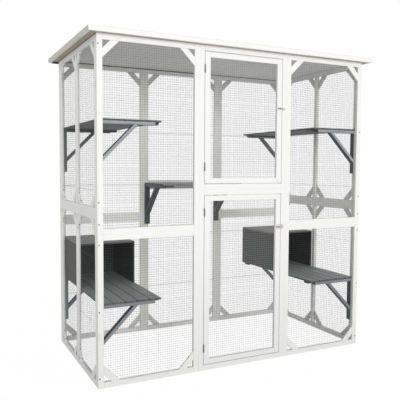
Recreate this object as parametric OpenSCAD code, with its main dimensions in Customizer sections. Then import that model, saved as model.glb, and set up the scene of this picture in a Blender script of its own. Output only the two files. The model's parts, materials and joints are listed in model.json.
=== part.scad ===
// Outdoor cat enclosure: bolted timber panels closed with wire mesh, one door above the other at the
// front, five slatted platforms on brackets, two open nest boxes and a flat roof under felt.
// Millimetres, +Z up, the front faces -Y, and the origin is under the middle of the roof.

/* [Enclosure] */
// Width of one of the three columns of panels
column_w = 570; // [500:5:700]
// Depth of the body from its front face to its back face
cage_d = 868; // [760:2:1100]
// Height of the body under the roof
cage_h = 1800; // [1650:5:2100]
// Height of the joint between the lower and the upper front and back panels
panel_joint_z = 795; // [750:5:850]
// Height of the joint between the lower and the upper side panels
side_joint_z = 900; // [850:5:960]
// Height of the joint between the lower and the upper door
door_joint_z = 1016; // [950:2:1100]

/* [Timber] */
// Face width of the stiles and rails of a panel
frame_w = 30; // [24:1:40]
// Thickness of the stiles and rails
frame_t = 19; // [18:1:35]
// Thickness of the corner braces, which lie flush with the outer face
lath_t = 11; // [8:1:12]
// Face width of the muntin in the middle of a side panel
muntin_w = 28; // [20:1:45]
// Width of a corner brace, square to its length
brace_w = 33; // [20:1:40]
// Side of the small triangle left open behind a corner brace
brace_gap = 41; // [20:1:60]

/* [Wire mesh] */
// Aimed distance between the drawn wires, every sixth wire of the real mesh
wire_pitch = 76.2; // [50.8:12.7:127]
// Diameter of a wire
wire_d = 1; // [0.8:0.1:2]

/* [Doors] */
// Face width of the stiles of a door
door_stile_w = 33; // [26:1:45]
// Face width of the rails of a door
door_rail_w = 30; // [24:1:45]
// Gap all round between a door and its surround
door_gap = 3; // [2.8:0.1:5]

/* [Hinges] */
// Height of a hinge
hinge_h = 45; // [30:1:70]
// Distance from the end of a door to the middle of its hinge
hinge_inset = 93; // [70:1:140]
// Thickness of a hinge leaf
leaf_t = 1.2; // [0.8:0.1:1.3]
// Depth of a hinge leaf in the gap
leaf_d = 16; // [12:1:17]
// Diameter of a hinge knuckle
knuckle_d = 6; // [5:0.5:9]
// Diameter of a hinge pin
pin_d = 3; // [2:0.5:3.5]

/* [Door bolts] */
// Height of the lower door's bolt above the ground
lower_bolt_z = 790; // [400:5:850]
// Height of the upper door's bolt above the ground
upper_bolt_z = 1482; // [1250:2:1600]
// Diameter of the lower door's bolt
lower_bolt_d = 6; // [5:0.5:8]
// Diameter of the upper door's bolt
upper_bolt_d = 4; // [3:0.5:5]
// Height of the lower bolt's plates
lower_plate_h = 32; // [26:1:40]
// Height of the upper bolt's plates
upper_plate_h = 18; // [16:1:26]
// Width of the plate that carries a bolt
bolt_plate_w = 26; // [24:1:26]
// Width of the plate that carries a keeper
keeper_plate_w = 16; // [12:1:20]
// Thickness of the plates
plate_t = 1.2; // [0.8:0.1:2]
// Wall of a bolt's barrel and of its keeper
barrel_wall = 1.4; // [1:0.1:2]
// Travel of a bolt into its keeper
bolt_travel = 12; // [10:1:13]
// Diameter of the stem of a bolt's knob
stem_d = 3; // [2:0.5:3.5]
// Length of the stem between the barrel and the knob
stem_l = 2; // [1:0.5:6]
// Diameter of a bolt's knob
knob_d = 7; // [5:0.5:9]

/* [Platforms] */
// Width of a slat
slat_w = 63; // [50:1:70]
// Gap between two slats
slat_gap = 5; // [2:0.5:6]
// Slats in a platform
slat_count = 5; // [4:1:5]
// Thickness of a slat
slat_t = 10; // [8:1:18]
// Width of the battens that hold the slats together
batten_w = 40; // [25:1:60]
// Thickness of the battens
batten_t = 12; // [8:1:18]
// Inset of the battens' ends from the outer slats' edges
batten_inset = 3; // [1:1:15]
// Gap between a platform and the walls round it
platform_gap = 1; // [0.5:0.5:4]
// Height of the top of the lower platforms
lower_platform_z = 436; // [400:2:500]
// Height of the top of the centre platform
centre_platform_z = 1030; // [990:2:1150]
// Height of the top of the upper platforms
upper_platform_z = 1384; // [1340:1:1480]

/* [Brackets] */
// Width of the bracket timber along the wall
bracket_w = 34; // [20:1:40]
// Thickness of the bracket timber
bracket_t = 17; // [12:1:26]
// Height of a bracket
bracket_h = 271; // [241:5:301]
// Reach of a bracket from the wall
bracket_l = 301; // [265:2:321]
// Reach of a strut along the arm and along the leg
strut_reach = 188; // [120:2:200]

/* [Nest boxes] */
// Height of a nest box above its platform
nest_h = 254; // [220:1:320]
// Depth of a nest box, from its open front to the back wall
nest_d = 400; // [360:1:420]
// Thickness of the nest boards
nest_t = 10; // [6:1:15]
// Boards in the top of a nest box
nest_boards = 4; // [2:1:6]

/* [Roof] */
// Overhang of the roof at each side
roof_side = 50; // [20:1:100]
// Overhang of the roof at the front
roof_front = 36; // [26:1:100]
// Overhang of the roof at the back
roof_back = 76; // [20:1:120]
// Thickness of the roof boards and height of the fascia
roof_t = 26; // [18:1:40]
// Thickness of the fascia strips
fascia_t = 15; // [10:1:20]
// Thickness of the roofing felt
felt_t = 2; // [1:0.5:4]

/* [Fasteners] */
// Diameter of a screw head on a corner post
screw_d = 7; // [5:0.5:9]
// Height of a screw head
screw_h = 1.2; // [0.8:0.1:2.5]
// Distance of the screws from the outer edge of a post
screw_edge = 7.5; // [6:0.5:12]
// Distance of the end screws from the ends of a panel
screw_end = 52; // [35:1:90]
// Heights above the joint of the two middle screws of an upper panel
upper_screw_steps = [163, 569];

/* [Hidden] */
// Gap at every butt joint between two pieces of wood
fit_gap = 0.2;
// Radial clearance of the pins and bolts in their bores
running_gap = 0.05;
// Gap between the knuckles of a hinge and in front of the timber
knuckle_gap = 0.3;
// Clearance of a bolt in its keeper and of its stem in the slot
loose_gap = 0.5;

cage_w = 3 * column_w;
inner_d = cage_d - 2 * frame_t;
side_bay_w = (inner_d - 2 * frame_w - muntin_w) / 2;
front_y = -roof_front;
roof_w = cage_w + 2 * roof_side;
roof_d = cage_d + roof_front + roof_back;
mesh_y = lath_t + fit_gap;
mesh_t = 2 * wire_d;
door_x = column_w + frame_w + door_gap;
door_w = column_w - 2 * (frame_w + door_gap);
lower_door_z = frame_w + door_gap;
lower_door_h = door_joint_z - 2 * (frame_w + door_gap);
upper_door_z = door_joint_z + frame_w + door_gap;
upper_door_h = cage_h - door_joint_z - 2 * (frame_w + door_gap);
hinge_x = door_x - door_gap / 2;
hinge_y = -knuckle_d / 2 - knuckle_gap;
knuckle_h = hinge_h / 3;
platform_d = slat_count * slat_w + (slat_count - 1) * slat_gap;
nest_y = cage_d - frame_t - platform_gap - nest_d;
nest_w = platform_d;
deck_w = (roof_w - 2 * fascia_t - 4 * fit_gap) / 3;
all_corners = ["bl", "br", "tl", "tr"];
top_corners = ["tl", "tr"];
bottom_corners = ["bl", "br"];
post_screw_z = [
  screw_end,
  panel_joint_z / 2,
  panel_joint_z - screw_end,
  panel_joint_z + screw_end,
  panel_joint_z + upper_screw_steps[0],
  panel_joint_z + upper_screw_steps[1],
  cage_h - screw_end
];

white_paint = "white";
grey_stain = "lightslategray";
dark_stain = "dimgray";
steel = "silver";
felt_grey = "darkslategray";

// Placing
// The body is drawn from its front left corner, and this puts the origin under the roof's middle
module in_cage() {
  translate([-cage_w / 2, -(cage_d + roof_back - roof_front) / 2, 0]) children();
}

// What stands on the left wall, seen again on the right wall
module on_right() {
  translate([cage_w, 0, 0]) mirror([1, 0, 0]) children();
}

// Front panels have their outer face at y = 0 and run along x
module on_front(column, z) {
  translate([column * column_w, 0, z]) children();
}

// Back panels are turned round, with their outer face at the back
module on_back(column, z) {
  translate([(column + 1) * column_w, cage_d, z]) rotate([0, 0, 180]) children();
}

// Side panels stand between the front and back panels
module on_left(z) {
  translate([0, cage_d - frame_t, z]) rotate([0, 0, -90]) children();
}

// Panels
// A strip at 45 degrees across a corner of a frame, from the corner at the origin
module corner_brace() {
  reach = brace_gap + brace_w * sqrt(2);
  translate([fit_gap, lath_t, fit_gap]) rotate([90, 0, 0]) linear_extrude(lath_t)
    polygon([[0, brace_gap], [brace_gap, 0], [reach, 0], [0, reach]]);
}

// The braces of one bay, w wide and h high, in the named corners
module bay_braces(w, h, corners) {
  for (corner = corners) {
    right = corner == "br" || corner == "tr";
    top = corner == "tl" || corner == "tr";
    translate([right ? w : 0, 0, top ? h : 0])
      mirror([right ? 1 : 0, 0, 0]) mirror([0, 0, top ? 1 : 0]) corner_brace();
  }
}

// Two stiles with two rails between them, outer face at y = 0
module rectangle_frame(w, h, stile_w, rail_w) {
  for (x = [0, w - stile_w]) translate([x, 0, 0]) cube([stile_w, frame_t, h]);
  for (z = [0, h - rail_w]) translate([stile_w + fit_gap, 0, z])
    cube([w - 2 * (stile_w + fit_gap), frame_t, rail_w]);
}

// A panel of one bay with corner braces
module panel(w, h, corners = []) {
  rectangle_frame(w, h, frame_w, frame_w);
  translate([frame_w, 0, frame_w]) bay_braces(w - 2 * frame_w, h - 2 * frame_w, corners);
}

// A side panel: two bays with a muntin between them and a brace in every corner
module side_panel(h) {
  bay_h = h - 2 * frame_w;
  rectangle_frame(inner_d, h, frame_w, frame_w);
  translate([frame_w + side_bay_w, 0, frame_w + fit_gap]) cube([muntin_w, frame_t, bay_h - 2 * fit_gap]);
  for (x = [frame_w, frame_w + side_bay_w + muntin_w]) translate([x, 0, frame_w])
    bay_braces(side_bay_w, bay_h, all_corners);
}

// Wire mesh
// Outline of a welded mesh w by h, with its wires evenly spaced
module mesh_outline(w, h) {
  columns = max(1, round(w / wire_pitch));
  rows = max(1, round(h / wire_pitch));
  step_x = (w - wire_d) / columns;
  step_y = (h - wire_d) / rows;
  difference() {
    square([w, h]);
    for (i = [0:columns - 1]) for (j = [0:rows - 1])
      translate([wire_d + i * step_x, wire_d + j * step_y]) square([step_x - wire_d, step_y - wire_d]);
  }
}

// The mesh in the opening of a panel w by h, behind its laths
module panel_mesh(w, h, stile_w = frame_w, rail_w = frame_w) {
  side = stile_w + fit_gap;
  edge = rail_w + fit_gap;
  translate([side, mesh_y + mesh_t, edge]) rotate([90, 0, 0]) linear_extrude(mesh_t)
    mesh_outline(w - 2 * side, h - 2 * edge);
}

// The mesh of a side panel, a sheet in each bay
module side_panel_mesh(h) {
  for (x = [0, side_bay_w + muntin_w]) translate([x, 0, 0]) panel_mesh(side_bay_w + 2 * frame_w, h);
}

// Doors
module door_frame(z, h) {
  translate([door_x, 0, z]) rectangle_frame(door_w, h, door_stile_w, door_rail_w);
}

module door_mesh(z, h) {
  translate([door_x, 0, z]) panel_mesh(door_w, h, door_stile_w, door_rail_w);
}

// Hinges
// Places a hinge near each end of a door
module at_hinges(z, h) {
  for (middle = [z + hinge_inset, z + h - hinge_inset])
    translate([hinge_x, 0, middle - hinge_h / 2]) children();
}

// A leaf against the timber at side * door_gap / 2, with knuckles from each start height
module hinge_leaf(side, starts) {
  leaf_x = side > 0 ? door_gap / 2 - leaf_t : -door_gap / 2;
  barrel_h = knuckle_h - knuckle_gap;
  difference() {
    union() {
      translate([leaf_x, 0, 0]) cube([leaf_t, leaf_d, hinge_h]);
      for (start = starts) translate([0, 0, start * knuckle_h + knuckle_gap / 2]) {
        translate([leaf_x, hinge_y, 0]) cube([leaf_t, -hinge_y + leaf_t, barrel_h]);
        translate([0, hinge_y, 0]) cylinder(d = knuckle_d, h = barrel_h, $fn = 48);
      }
    }
    translate([0, hinge_y, -1]) cylinder(d = pin_d + 2 * running_gap, h = hinge_h + 2, $fn = 32);
  }
}

module hinge_pin() {
  translate([0, hinge_y, 0]) cylinder(d = pin_d, h = hinge_h, $fn = 32);
}

// Door bolts
// Places what a bolt has on the door, with the right end of its barrel at the origin
module at_bolt(z) {
  translate([door_x + door_w - 1, 0, z]) children();
}

// A tube along x on a plate, with a foot between them, from x = 0 to x = l
module barrel(d, l, plate_h) {
  tube_d = d + 2 * barrel_wall;
  axis_y = -plate_t - tube_d / 2;
  translate([0, -plate_t, -plate_h / 2]) cube([l, plate_t, plate_h]);
  translate([0, axis_y, -tube_d / 2]) cube([l, -axis_y - plate_t / 2, tube_d]);
  translate([0, axis_y, 0]) rotate([0, 90, 0]) cylinder(d = tube_d, h = l, $fn = 48);
}

// The bore of that tube
module barrel_bore(d, bore_d, l) {
  axis_y = -plate_t - d / 2 - barrel_wall;
  translate([-1, axis_y, 0]) rotate([0, 90, 0]) cylinder(d = bore_d, h = l + 2, $fn = 48);
}

// Distance from the barrel's right end to the knob's stem when the bolt is drawn back
function stem_back() = bolt_plate_w - loose_gap - stem_d / 2 - 4;

module bolt_body(d, plate_h) {
  tube_d = d + 2 * barrel_wall;
  slot_w = stem_d + 2 * loose_gap;
  translate([-bolt_plate_w, 0, 0]) difference() {
    barrel(d, bolt_plate_w, plate_h);
    barrel_bore(d, d + 2 * running_gap, bolt_plate_w);
    translate([bolt_plate_w - stem_back() - slot_w / 2, -plate_t - tube_d - 1, -slot_w / 2])
      cube([bolt_travel + slot_w, tube_d / 2 + 1, slot_w]);
  }
}

module bolt(d) {
  tube_d = d + 2 * barrel_wall;
  axis_y = -plate_t - tube_d / 2;
  tail = 5;
  translate([-bolt_plate_w - tail, axis_y, 0]) rotate([0, 90, 0])
    cylinder(d = d, h = bolt_plate_w + tail, $fn = 48);
  translate([-stem_back(), axis_y, 0]) rotate([90, 0, 0]) {
    cylinder(d = stem_d, h = tube_d / 2 + stem_l + knob_d / 2, $fn = 32);
    translate([0, 0, tube_d / 2 + stem_l + knob_d / 2]) sphere(d = knob_d, $fn = 32);
  }
}

// A strap bridged over a square passage, on a plate of its own
module keeper(d, plate_h) {
  passage = d + 2 * loose_gap;
  half = passage / 2 + barrel_wall;
  cut = barrel_wall / 2;
  axis_y = -plate_t - d / 2 - barrel_wall;
  outer_y = axis_y - half;
  translate([door_gap + 2, 0, 0]) {
    difference() {
      union() {
        translate([0, -plate_t, -plate_h / 2]) cube([keeper_plate_w, plate_t, plate_h]);
        rotate([90, 0, 90]) linear_extrude(keeper_plate_w) polygon([
          [-plate_t / 2, -half],
          [outer_y + cut, -half],
          [outer_y, -half + cut],
          [outer_y, half - cut],
          [outer_y + cut, half],
          [-plate_t / 2, half]
        ]);
      }
      translate([-1, axis_y - passage / 2, -passage / 2]) cube([keeper_plate_w + 2, passage, passage]);
    }
  }
}

// Platforms
// Local frame of a platform: x along the wall over span, y away from the wall, z = 0 at its top
module platform(span) {
  length = span - 2 * platform_gap;
  for (i = [0:slat_count - 1])
    translate([platform_gap, platform_gap + i * (slat_w + slat_gap), -slat_t]) cube([length, slat_w, slat_t]);
  for (x = [bracket_w + platform_gap, span - bracket_w - platform_gap - batten_w])
    translate([x, platform_gap + batten_inset, -slat_t - fit_gap - batten_t])
      cube([batten_w, platform_d - 2 * batten_inset, batten_t]);
}

// A leg against the wall, an arm out from its top and a strut at 45 degrees, seen along the wall
module bracket() {
  strut_w = bracket_t * sqrt(2);
  far = strut_reach - fit_gap;
  translate([0, 0, -slat_t - bracket_h]) cube([bracket_w, bracket_t, bracket_h]);
  translate([0, bracket_t + fit_gap, -slat_t - bracket_t])
    cube([bracket_w, bracket_l - bracket_t - fit_gap, bracket_t]);
  translate([0, bracket_t + fit_gap, -slat_t - bracket_t - fit_gap]) rotate([90, 0, 90])
    linear_extrude(bracket_w) polygon([[0, -far], [far, 0], [far - strut_w, 0], [0, strut_w - far]]);
}

module bracket_pair(span) {
  for (x = [0, span - bracket_w]) translate([x, 0, 0]) bracket();
}

// The left wall, with x running from the back panel to the front panel
module at_left_wall(z) {
  translate([frame_t, cage_d - frame_t, z]) rotate([0, 0, -90]) children();
}

// The middle of the back wall, between the joints of the columns
module at_back_wall(z) {
  translate([2 * column_w, cage_d - frame_t, z]) rotate([0, 0, 180]) children();
}

// Nest boxes
// Two sides and a back that stand on the rear part of a lower platform
module nest_walls() {
  wall_h = nest_h - nest_t - fit_gap;
  translate([frame_t + platform_gap, nest_y, lower_platform_z]) {
    for (x = [0, nest_w - nest_t]) translate([x, 0, 0]) cube([nest_t, nest_d, wall_h]);
    translate([nest_t + fit_gap, nest_d - nest_t, 0])
      cube([nest_w - 2 * (nest_t + fit_gap), nest_t, wall_h]);
  }
}

// Boards side by side over the walls
module nest_top() {
  board_w = (nest_w - (nest_boards - 1) * fit_gap) / nest_boards;
  for (i = [0:nest_boards - 1])
    translate([frame_t + platform_gap + i * (board_w + fit_gap), nest_y, lower_platform_z + nest_h - nest_t])
      cube([board_w, nest_d, nest_t]);
}

// Roof
module roof_deck(index) {
  x = -roof_side + fascia_t + fit_gap + index * (deck_w + fit_gap);
  translate([x, front_y + fascia_t + fit_gap, cage_h])
    cube([deck_w, roof_d - 2 * (fascia_t + fit_gap), roof_t]);
}

module fascia() {
  for (y = [front_y, cage_d + roof_back - fascia_t]) translate([-roof_side, y, cage_h])
    cube([roof_w, fascia_t, roof_t]);
  for (x = [-roof_side, cage_w + roof_side - fascia_t])
    translate([x, front_y + fascia_t + fit_gap, cage_h])
      cube([fascia_t, roof_d - 2 * (fascia_t + fit_gap), roof_t]);
}

// One sheet of felt over each roof board
module felt() {
  sheet_w = (roof_w - 2 * fit_gap) / 3;
  for (i = [0:2]) translate([-roof_side + i * (sheet_w + fit_gap), front_y, cage_h + roof_t])
    cube([sheet_w, roof_d, felt_t]);
}

// Screws through the front and back panels into the side panels
module post_screw_heads() {
  for (x = [screw_edge, cage_w - screw_edge]) for (z = post_screw_z) {
    translate([x, 0, z]) rotate([90, 0, 0]) cylinder(d = screw_d, h = screw_h, $fn = 24);
    translate([x, cage_d + screw_h, z]) rotate([90, 0, 0]) cylinder(d = screw_d, h = screw_h, $fn = 24);
  }
}

// Sub-parts
module front_left_lower_frame() {
  color(white_paint) in_cage() on_front(0, 0) panel(column_w, panel_joint_z, bottom_corners);
}

module front_left_upper_frame() {
  color(white_paint) in_cage() on_front(0, panel_joint_z)
    panel(column_w, cage_h - panel_joint_z, top_corners);
}

module front_right_lower_frame() {
  color(white_paint) in_cage() on_front(2, 0) panel(column_w, panel_joint_z, bottom_corners);
}

module front_right_upper_frame() {
  color(white_paint) in_cage() on_front(2, panel_joint_z)
    panel(column_w, cage_h - panel_joint_z, top_corners);
}

module lower_door_surround() {
  color(white_paint) in_cage() on_front(1, 0) panel(column_w, door_joint_z);
}

module upper_door_surround() {
  color(white_paint) in_cage() on_front(1, door_joint_z) panel(column_w, cage_h - door_joint_z);
}

module left_lower_frame() {
  color(white_paint) in_cage() on_left(0) side_panel(side_joint_z);
}

module left_upper_frame() {
  color(white_paint) in_cage() on_left(side_joint_z) side_panel(cage_h - side_joint_z);
}

module right_lower_frame() {
  color(white_paint) in_cage() on_right() on_left(0) side_panel(side_joint_z);
}

module right_upper_frame() {
  color(white_paint) in_cage() on_right() on_left(side_joint_z) side_panel(cage_h - side_joint_z);
}

module back_left_lower_frame() {
  color(white_paint) in_cage() on_back(0, 0) panel(column_w, panel_joint_z, bottom_corners);
}

module back_left_upper_frame() {
  color(white_paint) in_cage() on_back(0, panel_joint_z)
    panel(column_w, cage_h - panel_joint_z, top_corners);
}

module back_centre_lower_frame() {
  color(white_paint) in_cage() on_back(1, 0) panel(column_w, door_joint_z, bottom_corners);
}

module back_centre_upper_frame() {
  color(white_paint) in_cage() on_back(1, door_joint_z)
    panel(column_w, cage_h - door_joint_z, top_corners);
}

module back_right_lower_frame() {
  color(white_paint) in_cage() on_back(2, 0) panel(column_w, panel_joint_z, bottom_corners);
}

module back_right_upper_frame() {
  color(white_paint) in_cage() on_back(2, panel_joint_z)
    panel(column_w, cage_h - panel_joint_z, top_corners);
}

module front_mesh() {
  color(steel) in_cage() for (column = [0, 2]) {
    on_front(column, 0) panel_mesh(column_w, panel_joint_z);
    on_front(column, panel_joint_z) panel_mesh(column_w, cage_h - panel_joint_z);
  }
}

module left_mesh() {
  color(steel) in_cage() side_mesh();
}

module right_mesh() {
  color(steel) in_cage() on_right() side_mesh();
}

// The two sheets of a side wall
module side_mesh() {
  on_left(0) side_panel_mesh(side_joint_z);
  on_left(side_joint_z) side_panel_mesh(cage_h - side_joint_z);
}

module back_mesh() {
  color(steel) in_cage() for (column = [0:2]) {
    joint_z = column == 1 ? door_joint_z : panel_joint_z;
    on_back(column, 0) panel_mesh(column_w, joint_z);
    on_back(column, joint_z) panel_mesh(column_w, cage_h - joint_z);
  }
}

module lower_door_frame() {
  color(white_paint) in_cage() door_frame(lower_door_z, lower_door_h);
}

module upper_door_frame() {
  color(white_paint) in_cage() door_frame(upper_door_z, upper_door_h);
}

module lower_door_mesh() {
  color(steel) in_cage() door_mesh(lower_door_z, lower_door_h);
}

module upper_door_mesh() {
  color(steel) in_cage() door_mesh(upper_door_z, upper_door_h);
}

module lower_hinge_fixed_leaves() {
  color(steel) in_cage() at_hinges(lower_door_z, lower_door_h) hinge_leaf(-1, [0, 2]);
}

module lower_hinge_door_leaves() {
  color(steel) in_cage() at_hinges(lower_door_z, lower_door_h) hinge_leaf(1, [1]);
}

module lower_hinge_pins() {
  color(steel) in_cage() at_hinges(lower_door_z, lower_door_h) hinge_pin();
}

module upper_hinge_fixed_leaves() {
  color(steel) in_cage() at_hinges(upper_door_z, upper_door_h) hinge_leaf(-1, [0, 2]);
}

module upper_hinge_door_leaves() {
  color(steel) in_cage() at_hinges(upper_door_z, upper_door_h) hinge_leaf(1, [1]);
}

module upper_hinge_pins() {
  color(steel) in_cage() at_hinges(upper_door_z, upper_door_h) hinge_pin();
}

module lower_bolt_body() {
  color(steel) in_cage() at_bolt(lower_bolt_z) bolt_body(lower_bolt_d, lower_plate_h);
}

module lower_bolt() {
  color(steel) in_cage() at_bolt(lower_bolt_z) bolt(lower_bolt_d);
}

module lower_bolt_keeper() {
  color(steel) in_cage() at_bolt(lower_bolt_z) keeper(lower_bolt_d, lower_plate_h);
}

module upper_bolt_body() {
  color(steel) in_cage() at_bolt(upper_bolt_z) bolt_body(upper_bolt_d, upper_plate_h);
}

module upper_bolt() {
  color(steel) in_cage() at_bolt(upper_bolt_z) bolt(upper_bolt_d);
}

module upper_bolt_keeper() {
  color(steel) in_cage() at_bolt(upper_bolt_z) keeper(upper_bolt_d, upper_plate_h);
}

module lower_left_platform() {
  color(grey_stain) in_cage() at_left_wall(lower_platform_z) platform(inner_d);
}

module lower_right_platform() {
  color(grey_stain) in_cage() on_right() at_left_wall(lower_platform_z) platform(inner_d);
}

module centre_platform() {
  color(grey_stain) in_cage() at_back_wall(centre_platform_z) platform(column_w);
}

module upper_left_platform() {
  color(grey_stain) in_cage() at_left_wall(upper_platform_z) platform(inner_d);
}

module upper_right_platform() {
  color(grey_stain) in_cage() on_right() at_left_wall(upper_platform_z) platform(inner_d);
}

module lower_left_brackets() {
  color(grey_stain) in_cage() at_left_wall(lower_platform_z) bracket_pair(inner_d);
}

module lower_right_brackets() {
  color(grey_stain) in_cage() on_right() at_left_wall(lower_platform_z) bracket_pair(inner_d);
}

module centre_brackets() {
  color(grey_stain) in_cage() at_back_wall(centre_platform_z) bracket_pair(column_w);
}

module upper_left_brackets() {
  color(grey_stain) in_cage() at_left_wall(upper_platform_z) bracket_pair(inner_d);
}

module upper_right_brackets() {
  color(grey_stain) in_cage() on_right() at_left_wall(upper_platform_z) bracket_pair(inner_d);
}

module left_nest_walls() {
  color(dark_stain) in_cage() nest_walls();
}

module left_nest_top() {
  color(dark_stain) in_cage() nest_top();
}

module right_nest_walls() {
  color(dark_stain) in_cage() on_right() nest_walls();
}

module right_nest_top() {
  color(dark_stain) in_cage() on_right() nest_top();
}

module roof_left_deck() {
  color(white_paint) in_cage() roof_deck(0);
}

module roof_centre_deck() {
  color(white_paint) in_cage() roof_deck(1);
}

module roof_right_deck() {
  color(white_paint) in_cage() roof_deck(2);
}

module roof_fascia() {
  color(white_paint) in_cage() fascia();
}

module roof_felt() {
  color(felt_grey) in_cage() felt();
}

module post_screws() {
  color(steel) in_cage() post_screw_heads();
}

front_left_lower_frame();
front_left_upper_frame();
front_right_lower_frame();
front_right_upper_frame();
lower_door_surround();
upper_door_surround();
left_lower_frame();
left_upper_frame();
right_lower_frame();
right_upper_frame();
back_left_lower_frame();
back_left_upper_frame();
back_centre_lower_frame();
back_centre_upper_frame();
back_right_lower_frame();
back_right_upper_frame();
front_mesh();
left_mesh();
right_mesh();
back_mesh();
lower_door_frame();
upper_door_frame();
lower_door_mesh();
upper_door_mesh();
lower_hinge_fixed_leaves();
lower_hinge_door_leaves();
lower_hinge_pins();
upper_hinge_fixed_leaves();
upper_hinge_door_leaves();
upper_hinge_pins();
lower_bolt_body();
lower_bolt();
lower_bolt_keeper();
upper_bolt_body();
upper_bolt();
upper_bolt_keeper();
lower_left_platform();
lower_right_platform();
centre_platform();
upper_left_platform();
upper_right_platform();
lower_left_brackets();
lower_right_brackets();
centre_brackets();
upper_left_brackets();
upper_right_brackets();
left_nest_walls();
left_nest_top();
right_nest_walls();
right_nest_top();
roof_left_deck();
roof_centre_deck();
roof_right_deck();
roof_fascia();
roof_felt();
post_screws();
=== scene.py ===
# %% [markdown]
# An outdoor cat enclosure: white painted timber panels closed with welded wire mesh, two doors one
# above the other, grey stained shelves on brackets, two nest boxes and a flat roof under felt.
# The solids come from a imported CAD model. Blender adds eased edges, grain, paint, zinc and light.
# Everything is in metres, with +Z up and the doors facing -Y.

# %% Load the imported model
import json
import math
import random

import bmesh
import bpy
from mathutils import Matrix, Vector


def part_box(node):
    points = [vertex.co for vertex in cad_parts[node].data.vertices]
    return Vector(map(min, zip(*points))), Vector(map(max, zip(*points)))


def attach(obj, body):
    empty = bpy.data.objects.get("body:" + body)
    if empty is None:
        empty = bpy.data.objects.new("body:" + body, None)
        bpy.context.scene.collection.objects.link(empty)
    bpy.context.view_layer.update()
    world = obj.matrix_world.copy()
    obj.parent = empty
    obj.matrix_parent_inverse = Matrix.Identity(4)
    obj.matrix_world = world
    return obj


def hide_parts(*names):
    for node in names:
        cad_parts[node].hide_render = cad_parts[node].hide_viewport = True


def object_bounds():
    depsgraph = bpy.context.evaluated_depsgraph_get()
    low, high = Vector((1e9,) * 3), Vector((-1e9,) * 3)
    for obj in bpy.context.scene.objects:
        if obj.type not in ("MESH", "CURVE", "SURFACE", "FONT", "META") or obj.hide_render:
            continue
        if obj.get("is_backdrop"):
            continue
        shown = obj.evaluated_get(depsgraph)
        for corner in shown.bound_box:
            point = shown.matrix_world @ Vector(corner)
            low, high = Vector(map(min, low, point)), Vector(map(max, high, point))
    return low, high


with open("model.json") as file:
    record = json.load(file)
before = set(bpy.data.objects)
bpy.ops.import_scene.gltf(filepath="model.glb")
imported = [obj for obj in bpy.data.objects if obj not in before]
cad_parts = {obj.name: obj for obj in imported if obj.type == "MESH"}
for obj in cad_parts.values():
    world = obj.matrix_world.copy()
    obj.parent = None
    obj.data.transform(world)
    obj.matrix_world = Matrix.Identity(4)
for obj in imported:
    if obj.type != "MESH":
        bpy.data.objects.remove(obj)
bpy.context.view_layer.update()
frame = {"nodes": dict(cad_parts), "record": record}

# %% [markdown]
# The camera repeats the photograph's. Its place, turn and lens were found by fitting the corners of
# the panels, doors, shelves and roof. It looks 26 degrees to the right of the doors' axis and a
# little down, from 3.1 metres in front of the middle and 1.6 metres to its left.

# %% Camera
CAMERA_PLACE = (-1.6144, -3.1439, 1.1455)
CAMERA_TURN = {"yaw": 26.38, "pitch": 3.54, "roll": 0.32}
CAMERA_LENS = 49.40
CAMERA_SENSOR = 36


def look_from(place, yaw, pitch, roll):
    """A camera matrix: yaw to the right of +Y, pitch down and roll, in degrees."""
    yaw, pitch, roll = (math.radians(angle) for angle in (yaw, pitch, roll))
    forward = Vector((
        math.sin(yaw) * math.cos(pitch), math.cos(yaw) * math.cos(pitch), -math.sin(pitch)))
    level = Vector((math.cos(yaw), -math.sin(yaw), 0))
    up = level.cross(forward)
    right = level * math.cos(roll) + up * math.sin(roll)
    up = right.cross(forward)
    turned = Matrix((right, up, -forward)).transposed().to_4x4()
    turned.translation = place
    return turned


camera = bpy.data.objects.new("camera", bpy.data.cameras.new("camera"))
bpy.context.scene.collection.objects.link(camera)
camera.data.lens = CAMERA_LENS
camera.data.sensor_width = CAMERA_SENSOR
camera.matrix_world = look_from(CAMERA_PLACE, **CAMERA_TURN)
bpy.context.scene.camera = camera
print("camera at", CAMERA_PLACE, "with a", CAMERA_LENS, "mm lens")

# %% [markdown]
# Sizes are easier to read in millimetres, and colours as the hex values a paint chart gives.
# Blender computes in metres and linear light, so one function converts each.

# %% Units and colours
def mm(length):
    """Millimetres as metres."""
    return length / 1000


def colour(hex_value):
    """An sRGB hex colour as linear RGBA."""
    parts = [int(hex_value[i:i + 2], 16) / 255 for i in (1, 3, 5)]
    return [p / 12.92 if p <= 0.04045 else ((p + 0.055) / 1.055) ** 2.4 for p in parts] + [1]


print("a 19 mm board is", mm(19), "m, and #808080 is", round(colour("#808080")[0], 3), "linear")

# %% [markdown]
# A material is a small graph. One helper adds a node, sets its options and fills its sockets, with
# a value, or with a link from another node. A Mix node keeps hidden sockets of the same name for
# other kinds of data, so a socket is looked up among the ones in use.

# %% Adding a node
def in_use(sockets, name):
    """The socket in use with this name, or the one at this place in the list."""
    if isinstance(name, int):
        return sockets[name]
    return next(s for s in sockets if s.name == name and s.enabled)


def output(node, name=None):
    """A node's named output, or its first one in use."""
    return next(s for s in node.outputs if s.enabled and name in (None, s.name))


def add(tree, kind, sockets=None, **options):
    """Adds a node to a material's tree and returns it."""
    new = tree.nodes.new(kind)
    for option, value in options.items():
        setattr(new, option, value)
    for name, value in (sockets or {}).items():
        socket = in_use(new.inputs, name)
        if isinstance(value, bpy.types.Node):
            value = output(value)
        if isinstance(value, bpy.types.NodeSocket):
            tree.links.new(value, socket)
        else:
            socket.default_value = value
    return new


trial = bpy.data.materials.new("trial")
trial.use_nodes = True
mix = add(trial.node_tree, "ShaderNodeMix", data_type="RGBA")
print("a colour Mix uses", [s.name for s in mix.inputs if s.enabled], "of", len(mix.inputs))
bpy.data.materials.remove(trial)

# %% [markdown]
# Every finish here starts as a Principled shader. What is the same all over a surface is set on the
# shader itself, and only what varies is linked to it.

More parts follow.
